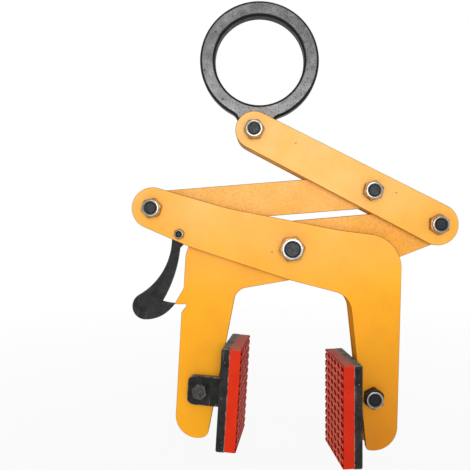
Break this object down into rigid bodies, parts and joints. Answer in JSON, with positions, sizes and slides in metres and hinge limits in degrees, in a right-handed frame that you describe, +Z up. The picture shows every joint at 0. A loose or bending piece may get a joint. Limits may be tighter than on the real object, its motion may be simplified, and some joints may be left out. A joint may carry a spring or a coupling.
{
  "type": "stone lifting clamp",
  "caption": "Scissor clamp for lifting stone: plate jaws on pivot bolts, a lifting ring that closes them, a latch that holds them open, and hinged pads with a diamond tread.",
  "frame": {"origin": "centre of the lifting ring's eye", "axes": "+Z up along the hanging line, +X towards the right leg, -Y out of the front, where the nuts are"},
  "size_m": [0.3446, 0.078, 0.4838],
  "materials": {
    "amber_paint": "satin",
    "black_paint": "satin",
    "dark_steel": "worn",
    "zinc_steel": "bright",
    "black_steel": "satin",
    "nylon": "matte",
    "red_rubber": "matte"
  },
  "bodies": {
    "outer_jaw": {"outer_jaw_front_plate": "amber_paint", "outer_jaw_rear_plate": "amber_paint", "left_pivot_bolt": "zinc_steel", "left_pivot_nut": "zinc_steel", "left_pivot_insert": "nylon", "left_pivot_spacers": "zinc_steel", "centre_pivot_bolt": "zinc_steel", "centre_pivot_nut": "zinc_steel", "centre_pivot_insert": "nylon", "centre_pivot_spacers": "zinc_steel", "latch_pivot_bolt": "zinc_steel", "latch_pivot_nut": "zinc_steel", "latch_pivot_insert": "nylon", "latch_pivot_spacers": "zinc_steel", "right_pad_pivot_bolt": "zinc_steel", "right_pad_pivot_nut": "zinc_steel", "right_pad_pivot_insert": "nylon"},
    "inner_jaw": {"inner_jaw_plate": "amber_paint"},
    "upper_arm": {"upper_arm_front_plate": "amber_paint", "upper_arm_rear_plate": "amber_paint", "ring_pivot_bolt": "zinc_steel", "ring_pivot_nut": "zinc_steel", "ring_pivot_insert": "nylon", "mid_pivot_bolt": "zinc_steel", "mid_pivot_nut": "zinc_steel", "mid_pivot_insert": "nylon", "mid_pivot_spacers": "zinc_steel", "right_pivot_bolt": "zinc_steel", "right_pivot_nut": "zinc_steel", "right_pivot_insert": "nylon", "right_pivot_spacers": "zinc_steel"},
    "tie_link": {"tie_link": "amber_paint"},
    "lifting_ring": {"lifting_ring": "dark_steel"},
    "latch": {"latch_hook": "black_paint"},
    "left_pad": {"left_pad_shoe": "black_paint", "left_pad_facing": "red_rubber", "left_pad_pivot_bolt": "black_steel", "left_pad_pivot_nut": "zinc_steel", "left_pad_pivot_insert": "nylon"},
    "right_pad": {"right_pad_shoe": "black_paint", "right_pad_facing": "red_rubber"}
  },
  "joints": [
    {"name": "jaw_close", "type": "hinge", "parent": "outer_jaw", "child": "inner_jaw", "pos_m": [0.0339, 0, -0.2001], "axis": [0, -1, 0], "range_deg": [0, 24]},
    {"name": "arm_fold", "type": "hinge", "parent": "inner_jaw", "child": "upper_arm", "pos_m": [0.1869, 0, -0.1746], "axis": [0, -1, 0], "range_deg": [-33.3, 0]},
    {"name": "link_swing", "type": "hinge", "parent": "outer_jaw", "child": "tie_link", "pos_m": [-0.1122, 0, -0.1576], "axis": [0, -1, 0], "range_deg": [0, 18.2]},
    {"name": "ring_swing", "type": "hinge", "parent": "upper_arm", "child": "lifting_ring", "pos_m": [-0.0055, 0, -0.0756], "axis": [0, 1, 0], "range_deg": [-85, 68]},
    {"name": "latch_swing", "type": "hinge", "parent": "outer_jaw", "child": "latch", "pos_m": [-0.0839, 0, -0.1848], "axis": [0, -1, 0], "range_deg": [-60, 8]},
    {"name": "left_pad_tilt", "type": "hinge", "parent": "inner_jaw", "child": "left_pad", "pos_m": [-0.0613, 0, -0.3498], "axis": [0, 1, 0], "range_deg": [0, 12]},
    {"name": "right_pad_tilt", "type": "hinge", "parent": "outer_jaw", "child": "right_pad", "pos_m": [0.1188, 0, -0.3553], "axis": [0, -1, 0], "range_deg": [0, 10]}
  ],
  "couplings": [
    {"joint": "arm_fold", "follows": "jaw_close", "ratio": -1.385},
    {"joint": "link_swing", "follows": "jaw_close", "ratio": 0.755}
  ]
}
